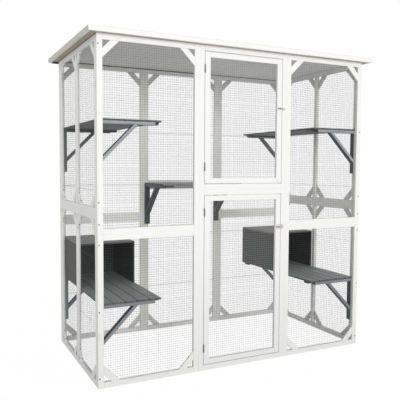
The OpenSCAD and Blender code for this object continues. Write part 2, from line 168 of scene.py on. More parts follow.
# %% Starting and finishing a material
def surface(name, **constants):
    """A new material and its shader, with what is the same all over set on the shader itself."""
    material = bpy.data.materials.new(name)
    material.use_nodes = True
    shader = material.node_tree.nodes["Principled BSDF"]
    for socket, value in constants.items():
        shader.inputs[socket.replace("_", " ")].default_value = value
    return material, shader


def finish(shader, **patterns):
    """Links patterns to the shader's sockets."""
    for socket, node in patterns.items():
        shader.id_data.links.new(output(node), shader.inputs[socket.replace("_", " ")])


trial, shader = surface("trial", Roughness=0.5)
print("a Principled shader has", len(shader.inputs), "sockets, and a finish sets a few")
bpy.data.materials.remove(trial)

# %% [markdown]
# Every board is cut along its own grain, so a pattern can't follow the world's axes. Each board
# carries two attributes instead: "grain", its own coordinates in metres with the first along the
# length, and "tone", one random number a board. Noise that is stretched along the first coordinate
# then reads as fibres on stiles, rails and slanted braces alike.
#
# The panels are fir with a water-based white paint, brushed on. The paint fills most of the grain,
# so the colour hardly varies and the brush leaves shallow furrows along each board. An eggshell
# sheen gives a roughness near 0.5.

# %% White painted fir
BRUSH_STROKE_MM = 160
BRISTLE_MM = 3
FURROW_MM = 0.6


def fibres(tree, length_mm, width_mm, detail=4.0):
    """Noise stretched along the board: streaks about length_mm long and width_mm wide."""
    place = add(tree, "ShaderNodeAttribute", attribute_name="grain")
    scale = (1 / mm(length_mm), 1 / mm(width_mm), 1 / mm(width_mm))
    stretched = add(tree, "ShaderNodeMapping", {"Vector": output(place, "Vector"), "Scale": scale})
    return add(tree, "ShaderNodeTexNoise", {
        "Vector": stretched, "Scale": 1.0, "Detail": detail, "Roughness": 0.6})


painted_fir, shader = surface("white painted fir", Roughness=0.5, IOR=1.5)
tree = painted_fir.node_tree
brushing = fibres(tree, length_mm=BRUSH_STROKE_MM, width_mm=BRISTLE_MM)
thin = add(tree, "ShaderNodeMapRange", {
    "Value": brushing, "From Min": 0.45, "From Max": 0.75, "To Max": 0.5})
coat = add(tree, "ShaderNodeMix", {
    "Factor": thin, "A": colour("#F3F3F0"), "B": colour("#E9E8E2")}, data_type="RGBA")
furrows = add(tree, "ShaderNodeBump", {
    "Height": brushing, "Strength": 0.35, "Distance": mm(FURROW_MM)})
finish(shader, Base_Color=coat, Normal=furrows)
print(painted_fir.name, "has", len(tree.nodes), "nodes before its knots")

# %% [markdown]
# Knots show through the paint as faint warm spots, at most four to a metre of board and longer than
# they are wide. The paint is made a little darker towards the foot, and the darkening is gone by
# 800 mm up.

# %% Knots and a darker foot
KNOTS_PER_METRE = (4.0, 9.0, 9.0)
DARKER_FOOT_HEIGHT_MM = 800

place = add(tree, "ShaderNodeAttribute", attribute_name="grain")
oval = add(tree, "ShaderNodeMapping", {
    "Vector": output(place, "Vector"), "Scale": KNOTS_PER_METRE})
knots = add(tree, "ShaderNodeTexVoronoi", {"Vector": oval, "Scale": 1.0})
knot_spot = add(tree, "ShaderNodeMapRange", {
    "Value": knots, "From Min": 0.13, "From Max": 0.02, "To Max": 0.55})
knotted = add(tree, "ShaderNodeMix", {
    "Factor": knot_spot, "A": coat, "B": colour("#DDD8CA")}, data_type="RGBA")
ground = add(tree, "ShaderNodeTexCoord")
axes = add(tree, "ShaderNodeSeparateXYZ", {"Vector": output(ground, "Object")})
toward_foot = add(tree, "ShaderNodeMapRange", {
    "Value": output(axes, "Z"), "From Max": mm(DARKER_FOOT_HEIGHT_MM), "To Min": 1.0, "To Max": 0.0})
darker_foot = add(tree, "ShaderNodeMix", {
    "Factor": toward_foot, "A": knotted, "B": colour("#F1F1F2")},
    data_type="RGBA", blend_type="MULTIPLY")
finish(shader, Base_Color=darker_foot)
print(painted_fir.name, "has", len(tree.nodes), "nodes with them")

# %% [markdown]
# The shelves, brackets and nest boxes are the same fir under a grey stain. A stain colours the soft
# early wood more than the hard late wood, so fine streaks follow the grain, and each board takes it
# a little differently. An attribute darkens a face up to nearly black: end grain by the stain, the
# nest boxes' insides, and undersides, gap walls, wide faces and rear boards by painted shade. One
# function makes all the greys, because only the two colours change.

# %% Grey stained fir
GROWTH_STREAK_MM = 220
GROWTH_RING_MM = 2.5
# Near black, for stained end grain, the nest boxes' insides and painted shade.
STAIN_AND_SHADE_BLACK = colour("#0F1011")


def stained_fir(name, early, late, spread, roughness=0.62):
    """Fir under a grey stain, from the early wood's colour to the late wood's."""
    material, shader = surface(name, Roughness=roughness, IOR=1.5)
    tree = material.node_tree
    growth = fibres(tree, length_mm=GROWTH_STREAK_MM, width_mm=GROWTH_RING_MM, detail=6.0)
    streak = add(tree, "ShaderNodeMapRange", {
        "Value": growth, "From Min": 0.35, "From Max": 0.68})
    wood = add(tree, "ShaderNodeMix", {
        "Factor": streak, "A": colour(early), "B": colour(late)}, data_type="RGBA")
    board = add(tree, "ShaderNodeAttribute", attribute_name="tone")
    depth = add(tree, "ShaderNodeMapRange", {
        "Value": output(board, "Fac"), "To Min": 1 - spread, "To Max": 1 + spread})
    toned = add(tree, "ShaderNodeHueSaturation", {"Color": wood, "Value": depth})
    # Each face is mixed towards near black by its share: the stain on end grain, and painted shade.
    stain_and_shade = add(tree, "ShaderNodeAttribute", attribute_name="stain_and_shade")
    stained_and_shaded = add(tree, "ShaderNodeMix", {
        "Factor": output(stain_and_shade, "Fac"), "A": toned, "B": STAIN_AND_SHADE_BLACK}, data_type="RGBA")
    raised = add(tree, "ShaderNodeBump", {
        "Height": growth, "Strength": 0.5, "Distance": mm(0.8)})
    finish(shader, Base_Color=stained_and_shaded, Normal=raised)
    return material


shelf_fir = stained_fir("grey stained fir shelf", "#9FA5A3", "#808684", spread=0.10)
bracket_fir = stained_fir("blue grey stained fir bracket", "#95989E", "#74797C", spread=0.08)
# Painted light: a paler copy of the bracket stain for the upper brackets, which are lit more
# brightly.
lit_bracket_fir = stained_fir("grey stained fir bracket with painted light", "#B6BBC0", "#8F9398", spread=0.08)
nest_fir = stained_fir("dark grey stained fir nest box", "#595B58", "#474946", spread=0.06)
nest_top_fir = stained_fir("pale grey stained fir nest top", "#98988F", "#7F7F78", spread=0.10)
print("stained:", ", ".join(m.name for m in bpy.data.materials if "stained" in m.name))

# %% [markdown]
# The roof's boards are plywood with a thin sealer on the side that faces down, a warm off-white.
# The right-hand board is a shade paler. Where the boards stand out past the walls they are tinted a
# brownish grey, a warmer tone with painted shade for the overhangs' undersides. A finish is tinted
# where a mask is 1, and the mask comes from Object coordinates, which are the imported model's own.

# %% Sealed plywood
WALL_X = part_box("right_upper_frame")[1].x
WALL_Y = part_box("front_left_upper_frame")[0].y


def tint_where(material, mask, shade_tint):
    """Multiplies a material's colour by a hex colour where the mask is 1."""
    shader = material.node_tree.nodes["Principled BSDF"]
    clean = shader.inputs["Base Color"].links[0].from_socket
    tinted = add(material.node_tree, "ShaderNodeMix", {
        "Factor": mask, "A": clean, "B": colour(shade_tint)}, data_type="RGBA", blend_type="MULTIPLY")
    finish(shader, Base_Color=tinted)


def axes_of(tree, coordinates):
    """The three axes of a material's Object coordinates, or of its Normal."""
    place = add(tree, "ShaderNodeTexCoord")
    return add(tree, "ShaderNodeSeparateXYZ", {"Vector": output(place, coordinates)})


def shade_eaves(material, shade_tint):
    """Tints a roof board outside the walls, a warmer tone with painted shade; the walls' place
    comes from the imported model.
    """
    tree = material.node_tree
    axes = axes_of(tree, "Object")
    sideways = add(tree, "ShaderNodeMath", {0: output(axes, "X")}, operation="ABSOLUTE")
    past_side = add(tree, "ShaderNodeMath", {0: sideways, 1: WALL_X}, operation="GREATER_THAN")
    past_front = add(
        tree, "ShaderNodeMath", {0: output(axes, "Y"), 1: WALL_Y}, operation="LESS_THAN")
    outside = add(tree, "ShaderNodeMath", {0: past_side, 1: past_front}, operation="MAXIMUM")
    tint_where(material, outside, shade_tint)


sealed_ply = stained_fir("sealed plywood", "#F5F4F0", "#EAE8E2", spread=0.03, roughness=0.7)
pale_ply = stained_fir("pale sealed plywood", "#F8F8F6", "#F0EFEC", spread=0.03, roughness=0.7)
# Outside the walls the boards get a warmer tone with painted shade for the overhangs' undersides.
for ply in (sealed_ply, pale_ply):
    shade_eaves(ply, "#BDB6A8")
print("walls stop", round(WALL_X, 3), "m to the side and", round(-WALL_Y, 3), "m to the front")

# %% [markdown]
# A copy of the paint is darkened where a face looks sideways, as painted shade on the fascia's
# short sides.

# %% Painted shade on the fascia's sides
SIDEWAYS = 0.7

shaded_fascia_paint = painted_fir.copy()
shaded_fascia_paint.name = "white paint with painted shade on its sides"
tree = shaded_fascia_paint.node_tree
sideways = add(tree, "ShaderNodeMath", {0: output(axes_of(tree, "Normal"), "X")},
               operation="ABSOLUTE")
facing = add(tree, "ShaderNodeMath", {0: sideways, 1: SIDEWAYS}, operation="GREATER_THAN")
tint_where(shaded_fascia_paint, facing, "#D6D6CC")
print("fascia paint:", shaded_fascia_paint.name)

# %% [markdown]
# Roofing felt is bitumen under a layer of crushed slate. Each granule is 1 to 2 mm across, and they
# are drawn about 3 mm across here so that they show. The felt is very rough and has no sheen.

# %% Mineral roofing felt
GRANULE_MM = 3

mineral_felt, shader = surface("mineral roofing felt", Roughness=0.95, IOR=1.5)
tree = mineral_felt.node_tree
place = add(tree, "ShaderNodeTexCoord")
granules = add(tree, "ShaderNodeTexVoronoi", {
    "Vector": output(place, "Object"), "Scale": 1 / mm(GRANULE_MM)})
grit = add(tree, "ShaderNodeSeparateColor", {"Color": output(granules, "Color")})
slate = add(tree, "ShaderNodeMix", {
    "Factor": grit, "A": colour("#34383A"), "B": colour("#5A5F60")}, data_type="RGBA")
bump = add(tree, "ShaderNodeBump", {"Height": granules, "Strength": 0.6, "Distance": mm(1)})
finish(shader, Base_Color=slate, Normal=bump)
print(mineral_felt.name, "has granules", GRANULE_MM, "mm across")

# %% [markdown]
# The black strips under the roof are near black with a faint grain: painted shade, drawn as bare
# bitumen where the felt folds. The brown bead under the side eaves is painted shade for a narrow
# gap, in a patchy brown.

# %% Black strips and brown bead, painted shade
def patchy(name, dark, light, patch_mm, roughness):
    """A matt surface whose colour drifts in soft patches of a given size."""
    material, shader = surface(name, Roughness=roughness, IOR=1.5)
    tree = material.node_tree
    place = add(tree, "ShaderNodeTexCoord")
    noise = add(tree, "ShaderNodeTexNoise", {
        "Vector": output(place, "Object"), "Scale": 1 / mm(patch_mm), "Detail": 5.0})
    drift = add(tree, "ShaderNodeMix", {
        "Factor": noise, "A": colour(dark), "B": colour(light)}, data_type="RGBA")
    bump = add(tree, "ShaderNodeBump", {"Height": noise, "Strength": 0.4, "Distance": mm(0.5)})
    finish(shader, Base_Color=drift, Normal=bump)
    return material


black_felt_shade = patchy("black felt edge with painted shade", "#0C0C0C", "#1C1C1B", patch_mm=6, roughness=0.9)
brown_gap_shade = patchy("brown bead with painted shade", "#7D7060", "#94897A", patch_mm=25, roughness=0.6)
print("matt finishes:", black_felt_shade.name, "and", brown_gap_shade.name)

# %% [markdown]
# The bolts' plates and keepers are steel with bright zinc. Barrel polishing leaves it silky, with
# small cloudy patches, so the roughness drifts a little around 0.35. The bolts' rods are dark, as
# painted shade and dark reflections on their round sides, the hinges have tarnished and the screws
# are near black. The mesh is hot-dip galvanised and a flat mid grey, with a paler copy for the
# doors' wires as painted light.

# %% Zinc plate and galvanised wire
SHEEN_DRIFT = 0.08


def zinc(name, bright, dull, roughness, patch_mm, metallic=1.0):
    """Zinc on steel, cloudy from bright to dull in patches about patch_mm across."""
    material, shader = surface(name, Metallic=metallic, Roughness=roughness)
    tree = material.node_tree
    place = add(tree, "ShaderNodeTexCoord")
    clouds = add(tree, "ShaderNodeTexNoise", {
        "Vector": output(place, "Object"), "Scale": 1 / mm(patch_mm), "Detail": 3.0})
    colours = add(tree, "ShaderNodeMix", {
        "Factor": clouds, "A": colour(bright), "B": colour(dull)}, data_type="RGBA")
    sheen = add(tree, "ShaderNodeMapRange", {
        "Value": clouds, "To Min": roughness - SHEEN_DRIFT, "To Max": roughness + SHEEN_DRIFT})
    finish(shader, Base_Color=colours, Roughness=sheen)
    return material


zinc_plate = zinc("bright zinc plated steel", "#EFEEEA", "#CFCBC2", roughness=0.35, patch_mm=6)
# Painted shade: the bolts' rods are dark all round, for their shaded undersides and dark
# reflections.
shaded_rod_zinc = zinc("dark zinc rod with painted shade", "#5E5C58", "#403F3C", roughness=0.5, patch_mm=3)
dark_hinge_zinc = zinc("tarnished zinc hinge", "#7C786E", "#5E5A51", roughness=0.5, patch_mm=8)
screw_steel = zinc("near black screw steel", "#34322F", "#201F1D", roughness=0.5, patch_mm=3)
wire_zinc = zinc(
    "mid grey galvanised wire", "#6A6C6E", "#585A5C", roughness=0.6, patch_mm=20, metallic=0.2)
# Painted light: a paler copy of the wire zinc, for the doors' brighter lit wires.
lit_door_wire_zinc = zinc(
    "galvanised door wire with painted light", "#A4A6A8", "#8E9092", roughness=0.55, patch_mm=20, metallic=0.2)
print(len(bpy.data.materials), "materials so far")

# %% [markdown]
# A CAD node is one mesh of loose triangles, and may hold many boards. A copy is merged into whole
# flat faces first. The node itself is left alone.

# %% Copies of CAD nodes
def merged_copy(node):
    """A bmesh of a CAD node, with its loose triangles joined into whole flat faces."""
    bm = bmesh.new()
    bm.from_mesh(frame["nodes"][node].data)
    bmesh.ops.remove_doubles(bm, verts=bm.verts, dist=mm(0.01))
    bmesh.ops.dissolve_limit(
        bm, angle_limit=math.radians(1), verts=bm.verts, edges=bm.edges)
    return bm


panel = merged_copy("lower_door_frame")
print("the lower door's frame has", len(panel.faces), "flat faces")
panel.free()

# %% [markdown]
# Each board is an island of linked vertices. Edges and faces are gathered in the order in which
# they are met, because the order of a Python set can change from one run to the next, and the grain
# with it.

# %% Separate boards
def met(board, kind):
    """A board's edges or faces, once each, in the order met."""
    return list(dict.fromkeys(thing for v in board for thing in getattr(v, kind)))


def islands(bm):
    """The separate boards of a mesh, each as a list of vertices."""
    bm.verts.index_update()
    found = []
    left = set(bm.verts)
    while left:
        first = min(left, key=lambda v: v.index)
        board, edge = {first}, [first]
        while edge:
            near = [e.other_vert(v) for v in edge for e in v.link_edges]
            edge = [v for v in set(near) if v not in board]
            board.update(edge)
        left -= board
        found.append(sorted(board, key=lambda v: v.index))
    return found


def island_boxes(node):
    """The lowest and highest corner of each separate piece in a CAD node."""
    bm = merged_copy(node)
    boxes = []
    for piece in islands(bm):
        low = Vector(min(v.co[i] for v in piece) for i in range(3))
        high = Vector(max(v.co[i] for v in piece) for i in range(3))
        boxes.append((low, high))
    bm.free()
    return boxes


print("the lower door's frame has", len(island_boxes("lower_door_frame")), "boards")

# %% [markdown]
# The grain runs along a board's longest edges. Its width is the longest edge square to those. A
# bevelled board has short slanted edges too, which neither test picks.

# %% A board's own directions
SQUARE_TO = 0.1


def board_axes(board):
    """A board's directions: along its length, across its width and through its thickness."""
    spans = [e.verts[1].co - e.verts[0].co for e in met(board, "link_edges")]
    spans.sort(key=lambda span: -span.length)
    along = spans[0].normalized()
    square = next(s for s in spans if abs(s.normalized().dot(along)) < SQUARE_TO)
    across = (square - along * square.dot(along)).normalized()
    return along, across, along.cross(across)


panel = merged_copy("lower_door_frame")
print("the door's boards run along", [
    [round(abs(v)) for v in board_axes(board)[0]] for board in islands(panel)])
panel.free()

# %% [markdown]
# Each face is darkened by a share from 0 to 1. What looks into a nest box's hollow is made nearly
# black. End grain takes most of the stain. The undersides, edges and wide faces get painted shade,
# as much as each kind of board is told, and the boards of a rear half can be given more.

# %% How dark a face is made, by stain and painted shade
INTO_HOLLOW = 0.5
END_GRAIN = 0.7
DOWNWARD = -0.9
WIDE_FACE = 0.9
END_GRAIN_SOAK = 0.7


def stain_and_shade_of(face, along, through, inward, shade_faces, shade_edges, shade_under):
    """How dark a face is made, from 0 to 1, by the way it looks: stained end grain, painted shade
    on undersides, edges and wide faces, and near black into a hollow.
    """
    if face.normal.dot(inward) > INTO_HOLLOW:
        return 1.0
    if abs(face.normal.dot(along)) > END_GRAIN:
        return END_GRAIN_SOAK
    if shade_under and face.normal.z < DOWNWARD:
        return shade_under
    if abs(face.normal.dot(through)) > WIDE_FACE:
        return shade_faces
    return shade_edges


print("end grain takes", END_GRAIN_SOAK, "of the stain")

# %% [markdown]
# Each board's grain coordinates get a random shift, so that no two boards show the same knots. The
# random numbers come from one seeded source and are drawn board by board.

# %% Labelling boards
GRAIN_SHIFT = 9
chance = random.Random(11)


def label_boards(bm, hollow=None, shade_faces=0.0, shade_edges=0.0, shade_under=0.0, shade_rear=0.0):
    """Writes each board's grain coordinates and tone, and how dark its faces are made by stain and
    painted shade.
    """
    grain = bm.verts.layers.float_vector.new("grain")
    tone = bm.verts.layers.float.new("tone")
    stain_and_shade = bm.faces.layers.float.new("stain_and_shade")
    bm.normal_update()
    for board in islands(bm):
        along, across, through = board_axes(board)
        middle = sum((v.co for v in board), Vector()) / len(board)
        shift = Vector([chance.uniform(-GRAIN_SHIFT, GRAIN_SHIFT) for _ in range(3)])
        number = chance.random()
        for v in board:
            offset = v.co - middle
            v[grain] = Vector([offset.dot(d) for d in (along, across, through)]) + shift
            v[tone] = number
        for face in met(board, "link_faces"):
            inward = (hollow - face.calc_center_median()).normalized() if hollow else Vector()
            darkness = stain_and_shade_of(face, along, through, inward, shade_faces, shade_edges, shade_under)
            # Boards in the rear half get at least the painted shade given for the rear.
            face[stain_and_shade] = max(darkness, shade_rear) if middle.y > 0 else darkness


print("the grain of each board is shifted by up to", GRAIN_SHIFT, "m")

# %% [markdown]
# A finished piece rides on the body of the CAD node that it replaces, and that node is hidden.
# The bodies come from the imported record, and so do the nodes' finish slots, which choose
# materials.

# %% Finishing a piece
body_of = {n: body for body, nodes in frame["record"]["behaviour"]["bodies"].items() for n in nodes}
slot_of = {part["node"]: part["material_slot"] for part in frame["record"]["subparts"]}


def finish_piece(name, bm, material, body, replaced=()):
    """Turns a bmesh into a piece that rides on a body and stands for CAD nodes."""
    mesh = bpy.data.meshes.new(name)
    bm.to_mesh(mesh)
    bm.free()
    mesh.materials.append(material)
    piece = bpy.data.objects.new(name, mesh)
    bpy.context.scene.collection.objects.link(piece)
    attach(piece, body)
    if replaced:
        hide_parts(*replaced)
    return piece


# %% [markdown]
# A CAD box has knife edges. A planed board has them eased by a pass of sandpaper, which catches a
# thin line of light, so every edge gets a small bevel. Each kind of timber has its material, the
# size of its eased edge, rounder on the painted frames and sharper on the thin slats, and how much
# painted shade its faces get. A few nodes differ from the rest of their kind.

# %% Dress every timber node
TIMBER_FINISH = {
    "painted_timber": (painted_fir, 1.5, {}),
    # The third entry is how much painted shade a kind's faces get.
    "slat_timber": (shelf_fir, 0.5, {"shade_edges": 0.75, "shade_under": 0.7}),
    "bracket_timber": (bracket_fir, 0.8, {"shade_faces": 0.8}),
    "nest_timber": (nest_fir, 0.8, {}),
    "nest_top_timber": (nest_top_fir, 0.8, {}),
    "roof_board": (sealed_ply, 0.8, {}),
}
MATERIAL_OF = {
    "roof_right_deck": pale_ply,
    # The fascia's sideways faces carry painted shade.
    "roof_fascia": shaded_fascia_paint,
    # The upper brackets take the paler stain, as painted light.
    "upper_left_brackets": lit_bracket_fir,
    "upper_right_brackets": lit_bracket_fir,
}
# Nodes whose painted shade differs from their kind's, and the nest boxes' hollows, made near black.
STAIN_AND_SHADE_OF = {
    "upper_left_brackets": {"shade_faces": 0.8, "shade_rear": 0.6},
    "upper_right_brackets": {"shade_faces": 0.8, "shade_rear": 0.6},
    "centre_brackets": {"shade_faces": 0.8, "shade_edges": 0.6},
    "centre_platform": {"shade_edges": 0.1, "shade_under": 0.7},
}
for side in ("left", "right"):
    nest_hollow = sum(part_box(side + "_nest_walls"), Vector()) / 2
    STAIN_AND_SHADE_OF[side + "_nest_walls"] = STAIN_AND_SHADE_OF[side + "_nest_top"] = {"hollow": nest_hollow}


def dress_timber(node, material, ease_mm, **shade_settings):
    """Replaces a node of plain boards with the same boards, eased and labelled."""
    bm = merged_copy(node)
    bmesh.ops.bevel(
        bm, geom=list(bm.edges), offset=mm(ease_mm), offset_type="OFFSET", segments=2,
        profile=0.5, affect="EDGES", material=-1, clamp_overlap=True)
    label_boards(bm, **shade_settings)
    return finish_piece(node + "_timber", bm, material, body_of[node], [node])


boards = []
for node in sorted(n for n in slot_of if slot_of[n] in TIMBER_FINISH):
    material, ease_mm, shade_settings = TIMBER_FINISH[slot_of[node]]
    boards.append(dress_timber(
        node, MATERIAL_OF.get(node, material), ease_mm, **STAIN_AND_SHADE_OF.get(node, shade_settings)))
print(len(boards), "timber pieces,", sum(len(b.data.polygons) for b in boards), "faces")

# %% [markdown]
# The mesh is half inch welded mesh, 12.7 mm apart: fine uprights on the outside and slightly
# thicker cross wires welded behind them. The CAD sheet shows every sixth wire. Here each wire is a
# six-sided rod of its own, so the whole mesh is real geometry.

# %% One wire, and where wires go
WIRE_PITCH = mm(12.7)
WIRE_SIDES = 6


def rod(bm, start, end, thickness):
    """A straight wire from start to end."""
    span = end - start
    turn = span.to_track_quat("Z", "Y").to_matrix().to_4x4()
    place = Matrix.Translation((start + end) / 2) @ turn
    bmesh.ops.create_cone(
        bm, cap_ends=True, segments=WIRE_SIDES, radius1=thickness / 2, radius2=thickness / 2,
        depth=span.length, matrix=place)


def evenly(low, high):
    """Places between low and high at the wires' pitch, centred."""
    count = int((high - low) / WIRE_PITCH)
    first = (low + high - count * WIRE_PITCH) / 2
    return [first + i * WIRE_PITCH for i in range(count + 1)]


print("half a metre takes", len(evenly(0, 0.5)), "wires")

# %% [markdown]
# Each sheet fills the box of its CAD sheet. The mesh comes off a narrow roll, so tall walls are
# covered in strips about 352 mm high that lap by a wire. The laps show as darker lines at the same
# four heights on the back and side walls, drawn as two more wires 4 mm apart.

# %% Weaving a sheet
UPRIGHT_THICKNESS = mm(0.6)
CROSS_THICKNESS = mm(0.8)
LAP_STEPS = (0, mm(4))
LAP_TO_TOP = mm(9)


def weave_sheet(bm, low, high, lap_heights, stout):
    """Fills a sheet's box with uprights and cross wires, doubled at the laps between strips."""
    upright, cross = stout * UPRIGHT_THICKNESS, stout * CROSS_THICKNESS
    thin = 0 if high[0] - low[0] < high[1] - low[1] else 1
    wide = 1 - thin
    middle = (low + high) / 2
    outward = math.copysign(cross / 2, middle[thin])
    edge = cross / 2
    for place in evenly(low[wide] + edge, high[wide] - edge):
        foot = Vector((0, 0, low[2]))
        foot[wide] = place
        foot[thin] = middle[thin] + outward
        rod(bm, foot, Vector((foot[0], foot[1], high[2])), upright)
    laps = [h + step for h in lap_heights if low[2] < h < high[2] - LAP_TO_TOP
            for step in LAP_STEPS]
    for height in evenly(low[2] + edge, high[2] - edge) + laps:
        left = Vector((0, 0, height))
        left[wide] = low[wide]
        left[thin] = middle[thin] - outward
        right = left.copy()
        right[wide] = high[wide]
        rod(bm, left, right, cross)


print("uprights", UPRIGHT_THICKNESS, "m and cross wires", CROSS_THICKNESS, "m thick")

# %% [markdown]
# The doors' mesh reads a little stouter than the rest and the side walls' a little finer, so each
# node has a share of the usual thickness.

# %% Weave every sheet
LAP_HEIGHTS = [mm(h) for h in (310, 662, 1015, 1368)]
MESH_SHEETS = {
    "front_mesh": ([], wire_zinc, 1.0),
    # The doors' wires take the paler zinc, as painted light.
    "lower_door_mesh": ([], lit_door_wire_zinc, 1.25),
    "upper_door_mesh": ([], lit_door_wire_zinc, 1.25),
    "left_mesh": (LAP_HEIGHTS, wire_zinc, 0.8),
    "right_mesh": (LAP_HEIGHTS, wire_zinc, 0.8),
    "back_mesh": (LAP_HEIGHTS, wire_zinc, 1.0),
}
for node, (laps, material, stout) in MESH_SHEETS.items():
    bm = bmesh.new()
    for low, high in island_boxes(node):
        weave_sheet(bm, low, high, laps, stout)
    wires = finish_piece(node + "_wires", bm, material, body_of[node], [node])
    print(wires.name, len(wires.data.polygons), "faces")

# %% [markdown]
# The screws that join the panels have pan heads with a cross recess. A head starts as a ring of
# twelve points, steps in to its crown, and meets a cross-shaped loop whose floor is pushed in. Its
# proportions are shares of its radius and its height, so one function makes both sizes.

# %% A screw head
HEAD_POINTS = 12
CROWN_STEPS = ((0.97, 0.45), (0.72, 1.0))
RECESS_LENGTH = 0.55
RECESS_SHOULDER = 0.9
RECESS_WIDTH = 0.16
RECESS_FLOOR = 0.2


def step_in(bm, loop):
    """Extrudes a loop of edges on the spot, and gives the new loop and its vertices."""
    made = bmesh.ops.extrude_edge_only(bm, edges=loop)["geom"]
    ring = [g for g in made if isinstance(g, bmesh.types.BMVert)]
    edges = [g for g in made if isinstance(g, bmesh.types.BMEdge)]
    return [e for e in edges if all(v in ring for v in e.verts)], ring


def recess_corner(place, radius, height):
    """Where a point of the crown's ring goes in the loop round the cross recess."""
    arm, half_slot = radius * RECESS_LENGTH, radius * RECESS_WIDTH
    heading = math.degrees(math.atan2(place.y, place.x))
    quarter, part = divmod(round(heading / (360 / HEAD_POINTS)) % HEAD_POINTS, 3)
    shoulder = arm * RECESS_SHOULDER
    x, y = ((arm, 0), (shoulder, half_slot), (half_slot, shoulder))[part]
    return Matrix.Rotation(math.radians(90 * quarter), 3, "Z") @ Vector((x, y, height))


def screw_head(bm, place, outward, diameter, height):
    """A pan head with a cross recess, standing on place and facing outward."""
    radius = diameter / 2
    parts = bmesh.ops.create_circle(bm, segments=HEAD_POINTS, radius=radius)["verts"]
    loop = met(parts, "link_edges")
    for reach, lift in CROWN_STEPS:
        loop, ring = step_in(bm, loop)
        for v in ring:
            v.co = Vector((v.co.x, v.co.y, 0)).normalized() * (radius * reach)
            v.co.z = height * lift
        parts += ring
    loop, ring = step_in(bm, loop)
    for v in ring:
        v.co = recess_corner(v.co, radius, height)
    parts += ring
    loop, ring = step_in(bm, loop)
    for v in ring:
        v.co.z = height * RECESS_FLOOR
    parts += ring
    bmesh.ops.contextual_create(bm, geom=loop)
    turn = Vector(outward).to_track_quat("Z", "Y").to_matrix().to_4x4()
    bmesh.ops.transform(bm, matrix=Matrix.Translation(place) @ turn, verts=parts)


bm = bmesh.new()
screw_head(bm, Vector((0, 0, 0)), (0, 0, 1), diameter=mm(7), height=mm(1.2))
print("a screw head has", len(bm.faces), "faces")
bm.free()

# %% [markdown]
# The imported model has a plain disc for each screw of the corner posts. A head takes the place of
# each disc and stands on the post behind it. Two on the front posts went in before the last coat of
# paint, so they are white.

# %% Heads on the corner posts
HEAD_HEIGHT = mm(1.2)
POST_HEAD_WIDTH = mm(7)
PAINTED_HEADS = {-1: (mm(1300), mm(1500)), 1: (mm(1700), mm(1800))}


def under_paint(place):
    """Whether a head at this place on the front posts is one of the two painted ones."""
    low, high = PAINTED_HEADS[int(math.copysign(1, place.x))]
    return place.y < 0 and low < place.z < high


bm = bmesh.new()
places = []
for low, high in island_boxes("post_screws"):
    middle = (low + high) / 2
    side = math.copysign(1, middle.y)
    foot = Vector((middle.x, low.y if side > 0 else high.y, middle.z))
    bare = len(bm.faces)
    screw_head(bm, foot, (0, side, 0), POST_HEAD_WIDTH, HEAD_HEIGHT)
    bm.faces.ensure_lookup_table()
    for face in bm.faces[bare:]:
        face.material_index = int(under_paint(middle))
    places.append(middle)
bmesh.ops.recalc_face_normals(bm, faces=bm.faces)
heads = finish_piece(
    "post_screw_heads", bm, screw_steel, "enclosure", ["post_screws"])
heads.data.materials.append(painted_fir)
print(len(places), "screw heads on the posts,", sum(map(under_paint, places)), "under paint")

# %% [markdown]
# Each corner brace is screwed through its long edge, the one that faces the middle of the window,
# with two screws. The braces are found among a panel's boards as the ones with a slanted face, and
# the larger slanted face is that edge. The rail's end of it is low on a brace at the bottom.

# %% Heads on the corner braces
BRACE_HEAD_WIDTH = mm(6.5)
BRACE_SCREWS = (0.2, 0.68)
SLANTED = (0.5, 0.9)


def long_edge(board):
    """The largest slanted face of a board, or None where all its faces are square."""
    flat, steep = SLANTED
    slanted = [f for f in met(board, "link_faces") if flat < abs(f.normal.z) < steep]
    return max(slanted, key=lambda f: f.calc_area()) if slanted else None


bm = bmesh.new()
head_count = 0
for node in sorted(n for n in slot_of if slot_of[n] == "painted_timber"):
    panel = merged_copy(node)
    panel.normal_update()
    for edge in filter(None, [long_edge(board) for board in islands(panel)]):
        ends = sorted((v.co for v in edge.verts), key=lambda co: co.z * edge.normal.z)
        rail_end, post_end = (ends[0] + ends[1]) / 2, (ends[2] + ends[3]) / 2
        for share in BRACE_SCREWS:
            place = rail_end.lerp(post_end, share)
            screw_head(bm, place, edge.normal, BRACE_HEAD_WIDTH, HEAD_HEIGHT)
            head_count += 1
    panel.free()
bmesh.ops.recalc_face_normals(bm, faces=bm.faces)
finish_piece("brace_screw_heads", bm, screw_steel, "enclosure")
print(head_count, "screw heads on the braces")

# %% [markdown]
# The hinges and bolts keep their CAD solids: only their finish changes.

# %% Finish the hinges and bolts
for node in sorted(n for n in slot_of if slot_of[n] == "zinc_hardware" and n != "post_screws"):
    metal = dark_hinge_zinc if "hinge" in node else zinc_plate
    # The bolts' rods take the dark zinc with painted shade.
    if node in ("lower_bolt", "upper_bolt"):
        metal = shaded_rod_zinc
    frame["nodes"][node].data.materials.clear()
    frame["nodes"][node].data.materials.append(metal)
    print(node, "in", metal.name)

# %% [markdown]
# The felt's three sheets stop 8 mm inside the fascia's front and side edges, as a roofer leaves
# them so that rain drips off the timber.

# %% Felt sheets
FELT_SET_BACK = mm(8)
AT_EDGE = mm(1)

roof_low, roof_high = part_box("roof_fascia")
bm = merged_copy("roof_felt")
for v in bm.verts:
    if abs(v.co.x) > roof_high.x - AT_EDGE:
        v.co.x -= math.copysign(FELT_SET_BACK, v.co.x)
    if v.co.y < roof_low.y + AT_EDGE:
        v.co.y += FELT_SET_BACK
felt = finish_piece("roof_felt_sheets", bm, mineral_felt, body_of["roof_felt"],
                    ["roof_felt"])
print("the felt is", round(felt.dimensions.x, 3), "m by", round(felt.dimensions.y, 3), "m")

